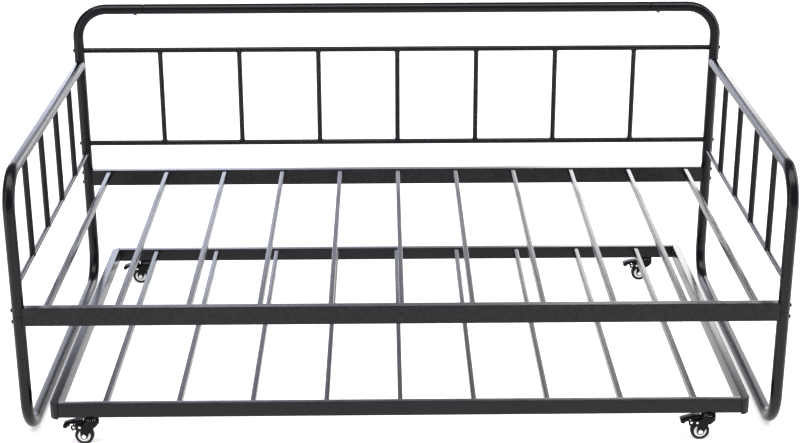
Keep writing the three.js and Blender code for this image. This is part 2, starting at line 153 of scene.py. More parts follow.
TYRE_GROOVE = [
    (TYRE_R, -0.0024), (TYRE_R - 0.0005, -0.0020), (TYRE_R - 0.0005, -0.0014), (TYRE_R, -0.0010),
]
TREAD_HALF = 0.0135
TREAD = [
    (-0.0208, 0.0700), (-0.042, 0.0656), (-0.058, 0.0618), (-0.068, 0.0586), (-0.0722, 0.0566),
    (-0.0722, 0.0508), (-0.069, 0.0488), (-0.0635, 0.0488), (-0.0615, 0.0510), (-0.0635, 0.0526),
    (-0.0648, 0.0512), (-0.068, 0.0512), (-0.069, 0.0534), (-0.0664, 0.0560), (-0.058, 0.0592),
    (-0.042, 0.0629), (-0.0208, 0.0674),
]
FLANGE = [
    (-0.0716, 0.0555), (-0.0714, 0.0512), (-0.0685, 0.0494), (-0.063, 0.0494), (-0.0585, 0.0545),
    (-0.054, 0.0555), (-0.0535, 0.0618), (-0.058, 0.0608), (-0.0675, 0.0573),
]
FLANGE_SHEET = 0.0018
TREAD_RIBS = [(-0.044, 0.0650), (-0.050, 0.0636), (-0.056, 0.0622), (-0.062, 0.0602), (-0.067, 0.0584)]
CHEEK_BACK = [(-0.040, 0.048), (-0.038, 0.065), (-0.024, 0.068), (-0.026, 0.051), (-0.0283, 0.0484)]
TREAD_RIB = [
    (0, -0.0104), (0.0012, -0.0104), (0.0016, -0.0097), (0.0016, 0.0097), (0.0012, 0.0104), (0, 0.0104),
]
TREAD_ROUND = 0.0016
TREAD_EDGE = 0.0006
FLANGE_ROUND = 0.0015
FLANGE_PROUD = 0.0002
CHEEK_ROUND = 0.001
CHEEK_INNER = 0.0062
CHEEK_OUTER = 0.0080
PAD_REACH = 0.026
PAD_THICKNESS = 0.0035
PAD_ANGLES = (0.69 * math.pi, 0.80 * math.pi)
RIVET_PIN_R = 0.0020
RIVET_HEAD_R = 0.0034
RIVET_HEAD_HEIGHT = 0.0013
RIVET_PLAY = 0.0003
AXLE_NUT = (0.0053, 0.0024, 0.0030)  # half across the flats, height, radius of the bolt
AXLE_NUT_SEAT = FORK_OUTER + 0.0010

# Fineness of the meshes
TUBE_SIDES = 48
THIN_SIDES = 32
BEND_STEPS = 28
CORNER_STEPS = 5
TURNED_SIDES = 48
SCREW_SIDES = 24
WELD_STEPS = 6
WELD_SIDES = 40
SADDLE_STEPS = 16
DOME_STEPS = 6
SOFT_STEPS = 4
FOOT_STEPS = 14
PAD_STEPS = 8
RIB_SIDES = 16
TYRE_SIDES = 64
RAIL_FLAT_STEPS = 12
PLATE_EDGE = 0.0005
FINE_EDGE = 0.0003
SHARP_ANGLE = math.radians(38)

# Camera, floor and light
CAMERA_PLACE = Vector((-0.0439, -4.3221, 2.0370))
CAMERA_TURN = (20.7392, 0.5976, -0.1597)  # pitch, yaw and roll in degrees
CAMERA_LENS = 73.756
FLOOR_SIZE = 24
SKY_COLOUR = (0.95, 0.97, 1.0, 1)
SKY_STRENGTH = 0.3
# Each box of light: its middle, the spot it faces, width, height, radiance and colour
SOFTBOXES = {
    "back_wall_left": ((-2.1, 5.8, 1.7), (-2.1, 0, 1.7), 4.8, 3.4, 2.6, (0.80, 0.84, 1.0)),
    "back_wall_right": ((2.4, 5.8, 1.7), (2.4, 0, 1.7), 4.2, 3.4, 2.5, (0.94, 0.935, 0.965)),
    "back_right_box": ((1.75, 5.6, 1.9), (1.75, 0, 1.9), 1.6, 1.8, 5.6, (0.985, 0.975, 0.985)),
    "back_left_box": ((-1.6, 5.6, 2.0), (-1.6, 0, 2.0), 1.8, 1.9, 3.4, (0.78, 0.82, 1.0)),
    "overhead_box": ((0, -1.2, 4.6), (0, -0.2, 0), 8.0, 2.6, 5.6, (1.0, 0.985, 1.0)),
    "left_box": ((-2.7, -1.9, 1.2), (0, -0.9, 0.8), 1.2, 2.4, 2.5, (1.0, 0.98, 1.0)),
    "right_box": ((2.8, 0.4, 1.2), (0, 0.2, 0.8), 1.6, 2.4, 3.2, (1.0, 0.98, 1.0)),
}

# ---------- places read from the frame ----------


def middle(node):
    low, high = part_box(node)
    return (low + high) / 2


def span(node):
    low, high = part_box(node)
    return high - low


post_r = span("right_leg_frame").x / 2
post_x = middle("right_leg_frame").x
front_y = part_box("right_leg_frame")[0].y + post_r
rear_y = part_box("right_leg_frame")[1].y - post_r
floor_rail_z = post_r
seam_z = middle("front_rail").z
arm_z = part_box("right_arm_frame")[1].z - post_r
top_z = middle("top_rail").z
panel_low, panel_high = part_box("back_panel")
panel_top_z = panel_high.z - PANEL_RAIL_R
panel_low_z = panel_low.z + PANEL_RAIL_R
top_seam_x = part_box("right_rear_post")[0].x
seat_rail_height = span("front_rail").z
seat_rail_thickness = span("front_rail").y

SIDES = {"left": -1, "right": 1}
CASTERS = [f"caster_{end}_{side}" for side in SIDES for end in ("front", "rear")]
joint_at = {joint["name"]: joint for joint in frame["joints"]}


def pivot(joint):
    return Vector(joint_at[joint]["pos_m"])


# ---------- camera ----------


def make_camera():
    """Slightly from the left and 21 degrees above, as the bed was photographed."""
    pitch, yaw, roll = (math.radians(a) for a in CAMERA_TURN)
    forward = Vector((math.sin(yaw) * math.cos(pitch), math.cos(yaw) * math.cos(pitch), -math.sin(pitch)))
    right = Vector((math.cos(yaw), -math.sin(yaw), 0))
    up = right.cross(forward)
    across = right * math.cos(roll) + up * math.sin(roll)
    upright = up * math.cos(roll) - right * math.sin(roll)
    data = bpy.data.cameras.new("photo_camera")
    data.sensor_width = 36
    data.lens = CAMERA_LENS
    data.clip_end = 60
    camera = bpy.data.objects.new("photo_camera", data)
    turn = Matrix((across, upright, -forward)).transposed().to_4x4()
    camera.matrix_world = Matrix.Translation(CAMERA_PLACE) @ turn
    bpy.context.scene.collection.objects.link(camera)
    bpy.context.scene.camera = camera


# ---------- materials ----------


class Look:
    """A Principled material and short calls for the nodes that vary it over the surface."""

    def __init__(self, name, **constants):
        self.material = bpy.data.materials.new(name)
        self.material.use_nodes = True
        self.tree = self.material.node_tree
        self.shader = self.tree.nodes["Principled BSDF"]
        for socket, value in constants.items():
            self.shader.inputs[socket.replace("_", " ")].default_value = value
        self.place = self.tree.nodes.new("ShaderNodeTexCoord").outputs["Object"]

    def noise(self, scale, detail=3.0, stretch=None):
        node = self.tree.nodes.new("ShaderNodeTexNoise")
        node.inputs["Scale"].default_value = scale
        node.inputs["Detail"].default_value = detail
        place = self.place
        if stretch:
            mapping = self.tree.nodes.new("ShaderNodeMapping")
            mapping.inputs["Scale"].default_value = stretch
            self.tree.links.new(place, mapping.inputs["Vector"])
            place = mapping.outputs["Vector"]
        self.tree.links.new(place, node.inputs["Vector"])
        return node.outputs["Fac"]

    def spread(self, source, low, high, start=0.3, end=0.7):
        """The source's start to end becomes low to high."""
        node = self.tree.nodes.new("ShaderNodeMapRange")
        limits = {"From Min": start, "From Max": end, "To Min": low, "To Max": high}
        for socket, value in limits.items():
            node.inputs[socket].default_value = value
        self.tree.links.new(source, node.inputs["Value"])
        return node.outputs["Result"]

    def tone(self, source, dark, light, start=0.3, end=0.7):
        node = self.tree.nodes.new("ShaderNodeValToRGB")
        for stop, place, colour in zip(node.color_ramp.elements, (start, end), (dark, light)):
            stop.position = place
            stop.color = (*colour, 1)
        self.tree.links.new(source, node.inputs["Fac"])
        return node.outputs["Color"]

    def times(self, a, b):
        node = self.tree.nodes.new("ShaderNodeMath")
        node.operation = "MULTIPLY"
        self.tree.links.new(a, node.inputs[0])
        self.tree.links.new(b, node.inputs[1])
        return node.outputs["Value"]

    def blend(self, share, under, over):
        """The colour under, with the plain colour over showing by share."""
        node = self.tree.nodes.new("ShaderNodeMix")
        node.data_type = "RGBA"
        self.tree.links.new(share, node.inputs["Factor"])
        self.tree.links.new(under, node.inputs["A"])
        node.inputs["B"].default_value = (*over, 1)
        return node.outputs["Result"]

    def edges(self, start=0.52, end=0.60):
        """One on outside edges and corners, nought on the flat."""
        node = self.tree.nodes.new("ShaderNodeNewGeometry")
        return self.spread(node.outputs["Pointiness"], 0, 1, start, end)

    def bump(self, *layers):
        """Each layer is a height source and its depth in metres."""
        normal = None
        for height, depth in layers:
            node = self.tree.nodes.new("ShaderNodeBump")
            node.inputs["Distance"].default_value = depth
            self.tree.links.new(height, node.inputs["Height"])
            if normal:
                self.tree.links.new(normal, node.inputs["Normal"])
            normal = node.outputs["Normal"]
        self.tree.links.new(normal, self.shader.inputs["Normal"])

    def colour(self, source):
        self.tree.links.new(source, self.shader.inputs["Base Color"])

    def rough(self, source):
        self.tree.links.new(source, self.shader.inputs["Roughness"])


def powder_coat(name, ripple=0.0):
    """Satin black powder coat: orange peel, faint clouding and rubbed edges."""
    look = Look(name, Specular_IOR_Level=0.22)
    cloud = look.tone(look.noise(3, 1), (0.0024, 0.0018, 0.0034), (0.0034, 0.0026, 0.0046))
    rubbed = look.times(look.edges(0.56, 0.64), look.spread(look.noise(90), 0, 0.5, 0.45, 0.7))
    look.colour(look.blend(rubbed, cloud, (0.04, 0.04, 0.042)))
    look.rough(look.spread(look.noise(14, 2), 0.252, 0.259))
    layers = [(look.noise(380, 1), 0.000001), (look.noise(1500, 0), 0.0000002)]
    if ripple:
        layers.append((look.noise(260, 1, (1, 1, 2.5)), ripple))
    look.bump(*layers)
    return look.material


def caster_paint():
    """Semi-gloss black dip paint on pressed steel; its sharp edges and rib tops get light grey specks,
    partly worn paint and partly painted glints.
    """
    look = Look("caster_paint", Specular_IOR_Level=0.1)
    cloud = look.tone(look.noise(40), (0.0025, 0.0025, 0.003), (0.005, 0.005, 0.0055))
    # Painted glints: the light grey in noisy specks on pointy edges and rib tops stands partly for paint
    # rubbed off and partly for glints of light.
    rubbed = look.times(look.edges(0.62, 0.78), look.spread(look.noise(900, 2), 0, 0.7, 0.42, 0.62))
    look.colour(look.blend(rubbed, cloud, (0.16, 0.16, 0.165)))
    look.rough(look.spread(look.noise(160, 4), 0.18, 0.28))
    look.bump((look.noise(900, 2), 0.000006))
    return look.material


def zinc():
    """Bright zinc plate with fine drawn lines and a faint bloom."""
    look = Look("bright_zinc", Metallic=1.0)
    look.colour(look.tone(look.noise(130, 4), (0.56, 0.57, 0.59), (0.78, 0.79, 0.80)))
    look.rough(look.spread(look.noise(500, 3, (1, 6, 1)), 0.16, 0.34))
    look.bump((look.noise(1800, 2, (1, 5, 1)), 0.00001))
    return look.material


def rubber():
    """Black tread rubber, scuffed grey in patches."""
    look = Look("tread_rubber", Specular_IOR_Level=0.18)
    scuff = look.spread(look.noise(220, 5), 0, 0.55, 0.5, 0.75)
    base = look.tone(look.noise(60), (0.004, 0.004, 0.004), (0.008, 0.008, 0.008))
    look.colour(look.blend(scuff, base, (0.020, 0.0195, 0.019)))
    look.rough(look.spread(look.noise(300, 4), 0.5, 0.75))
    look.bump((look.noise(1200, 3), 0.00004))
    return look.material


def pale_plastic():
    """Off-white moulded plastic with a slight mould sheen."""
    look = Look("pale_plastic", Specular_IOR_Level=0.5)
    look.colour(look.tone(look.noise(90), (0.78, 0.76, 0.70), (0.88, 0.87, 0.83)))
    look.rough(look.spread(look.noise(250), 0.32, 0.48))
    look.bump((look.noise(1400, 2), 0.00002))
    return look.material


def floor_paper():
    """White paper that glows a little, so that it stays as pale as the photo's background."""
    look = Look(
        "floor_paper",
        Specular_IOR_Level=0.1,
        Emission_Color=(1, 1, 1, 1),
        Emission_Strength=0.45,
    )
    look.colour(look.tone(look.noise(2), (0.90, 0.90, 0.905), (0.92, 0.92, 0.92)))
    look.rough(look.spread(look.noise(30), 0.85, 0.95))
    return look.material


COAT = powder_coat("powder_coat")
WELD = powder_coat("weld_coat", ripple=0.0001)
CASTER = caster_paint()
ZINC = zinc()
RUBBER = rubber()
PALE = pale_plastic()

# ---------- mesh building ----------


def add_piece(name, mesh, material, body, *nodes):
    """Turns the bmesh into a piece that rides on body and stands for the CAD nodes."""
    bmesh.ops.recalc_face_normals(mesh, faces=mesh.faces)
    data = bpy.data.meshes.new(name)
    mesh.to_mesh(data)
    mesh.free()
    data.shade_smooth()
    data.set_sharp_from_angle(angle=SHARP_ANGLE)
    data.materials.append(material)
    piece = bpy.data.objects.new(name, data)
    bpy.context.scene.collection.objects.link(piece)
    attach(piece, body)
    if nodes:
        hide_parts(*nodes)


def round_outline(radius, sides=THIN_SIDES):
    """A circle, as a function of how far it is drawn in."""
    def points(inset=0.0):
        angles = [math.tau * i / sides for i in range(sides)]
        return [((radius - inset) * math.cos(a), (radius - inset) * math.sin(a)) for a in angles]
    return points


def box_outline(width, height, corners, flat_steps=1):
    """A rectangle with four corner radii, counted from the one at +u +v."""
    radii = corners if isinstance(corners, tuple) else (corners,) * 4

    def points(inset=0.0):
        found = []
        for quarter, radius in enumerate(radii):
            r = max(radius - inset, radius / 5)
            middle_u = (width / 2 - inset - r) * (1 if quarter in (0, 3) else -1)
            middle_v = (height / 2 - inset - r) * (1 if quarter in (0, 1) else -1)
            for step in range(CORNER_STEPS + 1):
                a = math.pi / 2 * (quarter + step / CORNER_STEPS)
                found.append((middle_u + r * math.cos(a), middle_v + r * math.sin(a)))
        return divide_flats(found, flat_steps)
    return points


def divide_flats(points, flat_steps):
    """Adds points along each flat between two rounded corners."""
    corner = CORNER_STEPS + 1
    divided = []
    for i, (u, v) in enumerate(points):
        divided.append((u, v))
        if i % corner == corner - 1:
            next_u, next_v = points[(i + 1) % len(points)]
            shares = [step / flat_steps for step in range(1, flat_steps)]
            divided += [(u + (next_u - u) * s, v + (next_v - v) * s) for s in shares]
    return divided


def skin(mesh, rings, caps=True):
    """Quads between rings of vertices, and a face over each end."""
    for ring, following in zip(rings, rings[1:]):
        for i in range(len(ring)):
            j = (i + 1) % len(ring)
            mesh.faces.new((ring[i], ring[j], following[j], following[i]))
    if caps:
        mesh.faces.new(rings[0][::-1])
        mesh.faces.new(rings[-1])


def bent_path(corners, chamfer=CUT_CHAMFER, radius=BEND_RADIUS):
    """Stations along straight runs and bends: point, heading and how far the outline is drawn in."""
    first = (corners[1] - corners[0]).normalized()
    last = (corners[-1] - corners[-2]).normalized()
    stations = [(corners[0], first, chamfer), (corners[0] + first * chamfer, first, 0)]
    for before, corner, after in zip(corners, corners[1:], corners[2:]):
        into = (corner - before).normalized()
        turn = into.angle(after - corner)
        axis = into.cross(after - corner).normalized()
        start = corner - into * radius * math.tan(turn / 2)
        centre = start + axis.cross(into) * radius
        for step in range(BEND_STEPS + 1):
            swing = Matrix.Rotation(turn * step / BEND_STEPS, 3, axis)
            stations.append((centre + swing @ (start - centre), swing @ into, 0))
    stations += [(corners[-1] - last * chamfer, last, 0), (corners[-1], last, chamfer)]
    return stations


def sweep(mesh, stations, outline, across, hosts=(None, None)):
    """Carries the outline along the stations. An end with a host radius is cut to sit round that tube."""
    rings = []
    for number, (point, heading, inset) in enumerate(stations):
        host, way = None, 0
        if number < 2:
            host, way = hosts[0], 1
        elif number >= len(stations) - 2:
            host, way = hosts[1], -1
        up = heading.cross(across).normalized()
        ring = []
        for u, v in outline(inset):
            cope = heading * (way * cope_depth(u, host)) if host else Vector()
            ring.append(mesh.verts.new(point + across * u + up * v + cope))
        rings.append(ring)
    skin(mesh, rings)


def cope_depth(offset, host):
    """How far from the host tube's axis its surface is met, that far off its middle."""
    return math.sqrt(max(host * host - offset * offset, 0)) - COPE_BITE


def tube(mesh, corners, outline, across, hosts=(None, None), chamfer=CUT_CHAMFER):
    sweep(mesh, bent_path(corners, chamfer), outline, across, hosts)


def turned(mesh, profile, centre, axis, sides=TURNED_SIDES):
    """A lathe shape; the profile is radius and height pairs, closed on the axis or on itself."""
    side = axis.orthogonal().normalized()
    other = axis.cross(side)
    closed = profile[0] == profile[-1] and profile[0][0] > 0
    rings = []
    for radius, height in profile[:-1] if closed else profile:
        spot = centre + axis * height
        if radius == 0:
            rings.append([mesh.verts.new(spot)])
            continue
        angles = [math.tau * i / sides for i in range(sides)]
        spokes = [side * math.cos(a) + other * math.sin(a) for a in angles]
        rings.append([mesh.verts.new(spot + spoke * radius) for spoke in spokes])
    for ring, following in zip(rings, rings[1:] + rings[:1] if closed else rings[1:]):
        join_rings(mesh, ring, following)


def join_rings(mesh, ring, following):
    """Quads between two rings, or a fan where one of them is a single point."""
    count = max(len(ring), len(following))
    for i in range(count):
        j = (i + 1) % count
        if len(ring) == 1:
            mesh.faces.new((ring[0], following[j], following[i]))
        elif len(following) == 1:
            mesh.faces.new((ring[i], ring[j], following[0]))
        else:
            mesh.faces.new((ring[i], ring[j], following[j], following[i]))


def arc_profile(centre_r, centre_h, radius, start, end, steps=5):
    """Radius and height pairs round an arc, its angles in degrees from straight out."""
    angles = [math.radians(start + (end - start) * i / steps) for i in range(steps + 1)]
    return [(centre_r + radius * math.cos(a), centre_h + radius * math.sin(a)) for a in angles]


# ---------- screws, bolts and rivets ----------


def hexagon(angle, size):
    """Distance from the middle of a hexagon to its edge; size is half across its flats."""
    return size / math.cos((angle + math.pi / 6) % (math.pi / 3) - math.pi / 6)


def cross(angle, size):
    """The same for a cross recess; size is half across its arms."""
    turn = abs((angle + math.pi / 4) % (math.pi / 2) - math.pi / 4)
    return min(size / math.cos(turn), 0.32 * size / max(math.sin(turn), 1e-6))


def screw_head(mesh, seat, axis, recess, sizes):
    """Domed head, its foot sunk under the seat, with a recess of the given shape in its crown."""
    radius, height, recess_size, foot = sizes
    side = axis.orthogonal().normalized()
    other = axis.cross(side)
    rim = recess_size * 1.3
    brim = height * 0.3
    angles = [math.pi / 2 * step / DOME_STEPS for step in range(DOME_STEPS + 1)]
    dome = [(rim + (radius - rim) * math.cos(a), brim + (height - brim) * math.sin(a)) for a in angles]
    rings = [[mesh.verts.new(seat - axis * foot)]]
    for r, level in [(radius, -foot), *dome]:
        rings.append(shaped_ring(mesh, seat + axis * level, side, other, lambda a, r=r: r))
    for size, level in ((recess_size, height), (recess_size * 0.85, height * 0.45)):
        spot = seat + axis * level
        rings.append(shaped_ring(mesh, spot, side, other, lambda a, size=size: recess(a, size)))
    rings.append([mesh.verts.new(seat + axis * height * 0.38)])
    for ring, following in zip(rings, rings[1:]):
        join_rings(mesh, ring, following)


def shaped_ring(mesh, spot, side, other, reach):
    """A ring whose distance from the axis depends on the angle."""
    angles = [math.tau * i / SCREW_SIDES for i in range(SCREW_SIDES)]
    return [mesh.verts.new(spot + (side * math.cos(a) + other * math.sin(a)) * reach(a)) for a in angles]


def hex_nut(mesh, seat, axis, size, height, bolt_r):
    """Nut with chamfered corners and the bolt's domed end standing out of it."""
    side = axis.orthogonal().normalized()
    other = axis.cross(side)
    levels = [(0, None), (height * 0.85, None), (height, size * 0.97), (height, bolt_r * 1.15)]
    levels += [(height * 0.9, bolt_r), (height * 1.12, bolt_r), (height * 1.22, bolt_r * 0.7)]
    rings = [[mesh.verts.new(seat)]]
    for level, r in levels:
        reach = (lambda a: hexagon(a, size)) if r is None else (lambda a, r=r: r)
        rings.append(shaped_ring(mesh, seat + axis * level, side, other, reach))
    rings.append([mesh.verts.new(seat + axis * height * 1.25)])
    for ring, following in zip(rings, rings[1:]):
        join_rings(mesh, ring, following)


def rivet(mesh, centre, axis, half_length, pin_r, head_r, head_height):
    """Pin with a low domed head on each end."""
    far = half_length + head_height
    half = [(0, far), (head_r * 0.45, far - head_height * 0.08), (head_r * 0.8, far - head_height * 0.35)]
    half += [(head_r, far - head_height * 0.8), (head_r, half_length), (pin_r, half_length)]
    profile = [(r, -h) for r, h in half] + half[::-1]
    turned(mesh, profile, centre, axis, SCREW_SIDES)


# ---------- welds ----------


def bezier(start, corner, end, share):
    return start * (1 - share) ** 2 + corner * (2 * share * (1 - share)) + end * share ** 2


def fillet_loop(mesh, sections):
    """Closed ring of weld, from sections of top, inside corner, foot and a point in the metal."""
    rings = []
    for top, corner, foot, core in sections:
        curve = [bezier(top, corner, foot, step / WELD_STEPS) for step in range(WELD_STEPS + 1)]
        rings.append([mesh.verts.new(point) for point in [*curve, core]])
    skin(mesh, rings + rings[:1], caps=False)


def weld_tube(mesh, centre, axis, across, radius, host, size=WELD_SIZE):
    """Weld where a tube leaves a host tube; centre is on the host's axis, across is square to both."""
    along = axis.cross(across)
    sections = []
    for i in range(WELD_SIDES):
        a = math.tau * i / WELD_SIDES
        swell = 1 + 0.10 * math.sin(5 * a + centre.x * 40) + 0.05 * math.sin(13 * a + centre.y * 60)
        reach = size * swell
        out = across * math.cos(a) + along * math.sin(a)
        tilt = math.asin(max(-1, min(1, radius * math.cos(a) / host)))
        away = tilt + reach * math.cos(a) / host
        level = centre + axis * host * math.cos(tilt)
        corner = level + out * radius
        foot = centre + across * host * math.sin(away) + axis * host * math.cos(away)
        foot += along * (radius + reach) * math.sin(a)
        core = level + out * (radius - WELD_ROOT) - axis * WELD_ROOT
        sections.append((corner + axis * reach, corner, foot, core))
    fillet_loop(mesh, sections)


def weld_box(mesh, spot, axis, across, width, height):
    """Weld round the end of a rectangular tube that meets a flat face at spot."""
    up = axis.cross(across)
    flat_u, flat_v = width / 2 - BOX_CORNER, height / 2 - BOX_CORNER
    sections = []
    for step in range(WELD_SIDES):
        quarter, a = divmod(step, WELD_SIDES // 4)
        a = math.pi / 2 * (quarter + a / (WELD_SIDES // 4 - 1))
        reach = SLAT_WELD_SIZE * (1 + 0.12 * math.sin(7 * a + spot.x * 50))
        out = across * math.cos(a) + up * math.sin(a)
        centre_u = flat_u if quarter in (0, 3) else -flat_u
        centre_v = flat_v if quarter in (0, 1) else -flat_v
        corner = spot + across * centre_u + up * centre_v + out * BOX_CORNER
        core = corner - out * WELD_ROOT - axis * WELD_ROOT
        sections.append((corner + axis * reach, corner, corner + out * reach, core))
    fillet_loop(mesh, sections)


# ---------- daybed tubes ----------


def leg_tube(side, sign):
    """Two legs and the floor rail, bent from one tube."""
    x = sign * post_x
    top = seam_z - SEAM_GAP
    corners = [(x, front_y, top), (x, front_y, floor_rail_z), (x, rear_y, floor_rail_z), (x, rear_y, top)]
    mesh = bmesh.new()
    tube(mesh, [Vector(c) for c in corners], round_outline(post_r, TUBE_SIDES), X, chamfer=SEAM_CHAMFER)
    add_piece(f"leg_tube_{side}", mesh, COAT, "daybed", f"{side}_leg_frame")


def arm_frame(side, sign):
    """Front post and arm in one tube, the low rail, the balusters and their welds."""
    x = sign * post_x
    run = [(x, front_y, seam_z + SEAM_GAP), (x, front_y, arm_z), (x, rear_y, arm_z)]
    mesh = bmesh.new()
    path = bent_path([Vector(c) for c in run], SEAM_CHAMFER)
    sweep(mesh, path, round_outline(post_r, TUBE_SIDES), X, (None, post_r))
    low_rail = [Vector((x, front_y, ARM_LOW_RAIL_Z)), Vector((x, rear_y, ARM_LOW_RAIL_Z))]
    tube(mesh, low_rail, round_outline(ARM_LOW_RAIL_R), X, (post_r, post_r))
    welds = bmesh.new()
    weld_tube(welds, low_rail[0], Y, X, ARM_LOW_RAIL_R, post_r)
    weld_tube(welds, low_rail[1], -Y, X, ARM_LOW_RAIL_R, post_r)
    weld_tube(welds, Vector((x, rear_y, arm_z)), -Y, X, post_r, post_r + COPE_BITE)
    for bay in range(1, ARM_BAYS):
        y = front_y + (rear_y - front_y) * bay / ARM_BAYS
        foot, head = Vector((x, y, ARM_LOW_RAIL_Z)), Vector((x, y, arm_z))
        tube(mesh, [foot, head], round_outline(ARM_BALUSTER_R), X, (ARM_LOW_RAIL_R, post_r))
        weld_tube(welds, foot, Z, X, ARM_BALUSTER_R, ARM_BALUSTER_R)
        weld_tube(welds, head, -Z, X, ARM_BALUSTER_R, post_r)
    add_piece(f"arm_tubes_{side}", mesh, COAT, "daybed", f"{side}_arm_frame")
    add_piece(f"arm_welds_{side}", welds, WELD, "daybed")


def rear_post(side, sign):
    """Post behind the seat, bent inwards at the top to meet the top rail."""
    x = sign * post_x
    seam_x = sign * (top_seam_x + SEAM_GAP)
    run = [(x, rear_y, seam_z + SEAM_GAP), (x, rear_y, top_z), (seam_x, rear_y, top_z)]
    mesh = bmesh.new()
    tube(mesh, [Vector(c) for c in run], round_outline(post_r, TUBE_SIDES), Y, chamfer=TOP_SEAM_CHAMFER)
    add_piece(f"rear_post_tube_{side}", mesh, COAT, "daybed", f"{side}_rear_post")


def top_rail():
    end = top_seam_x - SEAM_GAP
    mesh = bmesh.new()
    run = [Vector((-end, rear_y, top_z)), Vector((end, rear_y, top_z))]
    tube(mesh, run, round_outline(post_r, TUBE_SIDES), Y, chamfer=TOP_SEAM_CHAMFER)
    add_piece("top_rail_tube", mesh, COAT, "daybed", "top_rail")


def back_panel():
    """Ladder of thin tube between the rear posts, with its welds."""
    mesh, welds = bmesh.new(), bmesh.new()
    for z in (panel_low_z, panel_top_z):
        rail = [Vector((-post_x, rear_y, z)), Vector((post_x, rear_y, z))]
        tube(mesh, rail, round_outline(PANEL_RAIL_R), Y, (post_r, post_r))
    for bay in range(1, PANEL_BAYS):
        x = (bay - PANEL_BAYS / 2) * PANEL_PITCH
        foot, head = Vector((x, rear_y, panel_low_z)), Vector((x, rear_y, panel_top_z))
        tube(mesh, [foot, head], round_outline(PANEL_BALUSTER_R), Y, (PANEL_RAIL_R, PANEL_RAIL_R))
        weld_tube(welds, foot, Z, Y, PANEL_BALUSTER_R, PANEL_RAIL_R)
        weld_tube(welds, head, -Z, Y, PANEL_BALUSTER_R, PANEL_RAIL_R)
    add_piece("back_panel_tubes", mesh, COAT, "daybed", "back_panel")
    add_piece("back_panel_welds", welds, WELD, "daybed")


# ---------- seat deck ----------


def seat_rail(end, y):
    """Box rail between two posts, with a plate bent round the post welded to each end."""
    mesh = bmesh.new()
    rail = [Vector((-post_x, y, seam_z)), Vector((post_x, y, seam_z))]
    outline = box_outline(seat_rail_thickness, seat_rail_height, BOX_CORNER, flat_steps=RAIL_FLAT_STEPS)
    host = post_r + SADDLE_SHEET
    tube(mesh, rail, outline, Y, (host, host))
    for sign in SIDES.values():
        saddle(mesh, Vector((sign * post_x, y, seam_z)), X * -sign)
    add_piece(f"seat_rail_{end}", mesh, COAT, "daybed", f"{end}_rail")


def saddle(mesh, post, way):
    """Plate bent round the post on the side that faces way."""
    inner = post_r + SEAM_GAP
    outer = inner + SADDLE_SHEET
    half = seat_rail_height / 2
    soft = SADDLE_SHEET / 4
    section = [(inner, -half), (outer - soft, -half), (outer, -half + soft)]
    section += [(outer, half - soft), (outer - soft, half), (inner, half)]
    rings = []
    for step in range(SADDLE_STEPS + 1):
        a = SADDLE_SPAN * (2 * step / SADDLE_STEPS - 1)
        spoke = way * math.cos(a) + Y * math.sin(a)
        rings.append([mesh.verts.new(post + spoke * r + Z * height) for r, height in section])
    skin(mesh, rings)


def slats(label, count, body):
    """Rectangular-tube slats, each its own piece, and one piece for the welds at their ends."""
    welds = bmesh.new()
    for number in range(1, count + 1):
        node = f"{label}_{number}"
        low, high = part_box(node)
        centre = (low + high) / 2
        width, height = high.x - low.x, high.z - low.z
        ends = [Vector((centre.x, y, centre.z)) for y in (low.y - SLAT_GAP, high.y + SLAT_GAP)]
        mesh = bmesh.new()
        tube(mesh, ends, box_outline(width, height, BOX_CORNER), X, chamfer=SLAT_GAP)
        add_piece(f"{node}_tube", mesh, COAT, body, node)
        weld_box(welds, ends[0], Y, X, width, height)
        weld_box(welds, ends[1], -Y, X, width, height)
    add_piece(f"{label}_welds", welds, WELD, body)


# ---------- trundle frame ----------


def rounded_rise(low, high, edge):
    """Stations up from low to high, drawn in round both edges."""
    turns = [math.pi / 2 * step / CORNER_STEPS for step in range(CORNER_STEPS + 1)]
    bottom = [(edge * (1 - math.cos(a)), edge * (1 - math.sin(a))) for a in turns]
    stations = [(low + Z * h, Z, inset) for h, inset in bottom]
    return stations + [(high - Z * h, Z, inset) for h, inset in bottom[::-1]]


def trundle_side_rail(side, sign):
    """Side rail whose outer corners are rounded in plan."""
    low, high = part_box(f"trundle_{side}_rail")
    centre = (low + high) / 2
    size = high - low
    corners = (TRUNDLE_CORNER, BOX_CORNER / 2, BOX_CORNER / 2, TRUNDLE_CORNER)
    outline = box_outline(size.x, size.y, corners)
    ends = [Vector((centre.x, centre.y, z)) for z in (low.z, high.z)]
    mesh = bmesh.new()
    sweep(mesh, rounded_rise(*ends, BOX_CORNER), outline, X * sign)
    add_piece(f"trundle_{side}_rail_tube", mesh, COAT, "trundle", f"trundle_{side}_rail")


def trundle_end_rail(end):
    low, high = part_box(f"trundle_{end}_rail")
    centre = (low + high) / 2
    size = high - low
    mesh = bmesh.new()
    ends = [Vector((x, centre.y, centre.z)) for x in (low.x, high.x)]
    tube(mesh, ends, box_outline(size.y, size.z, BOX_CORNER), Y, chamfer=SEAM_CHAMFER)
    add_piece(f"trundle_{end}_rail_tube", mesh, COAT, "trundle", f"trundle_{end}_rail")


# ---------- fasteners ----------


def seat_bolts():
    """Two button-head bolts through each post, above and below its seam."""
    mesh = bmesh.new()
    for sign in SIDES.values():
        for y in (front_y, rear_y):
            for z in (seam_z - SEAT_BOLT_OFFSET, seam_z + SEAT_BOLT_OFFSET):
                seat = Vector((sign * (post_x + post_r), y, z))
                screw_head(mesh, seat, X * sign, hexagon, POST_BOLT)
    add_piece("seat_rail_bolts", mesh, COAT, "daybed")


def seam_buttons():
    """Small spring buttons that lock each post's seam, on its front towards the rail."""
    mesh = bmesh.new()
    for sign in SIDES.values():
        for y in (front_y, rear_y):
            way = (X * (-sign * math.sin(BUTTON_TURN)) - Y * math.cos(BUTTON_TURN)).normalized()
            seat = Vector((sign * post_x, y, seam_z)) + way * post_r
            turned(mesh, SEAM_BUTTON, seat, way, SCREW_SIDES)
    add_piece("post_seam_buttons", mesh, COAT, "daybed")


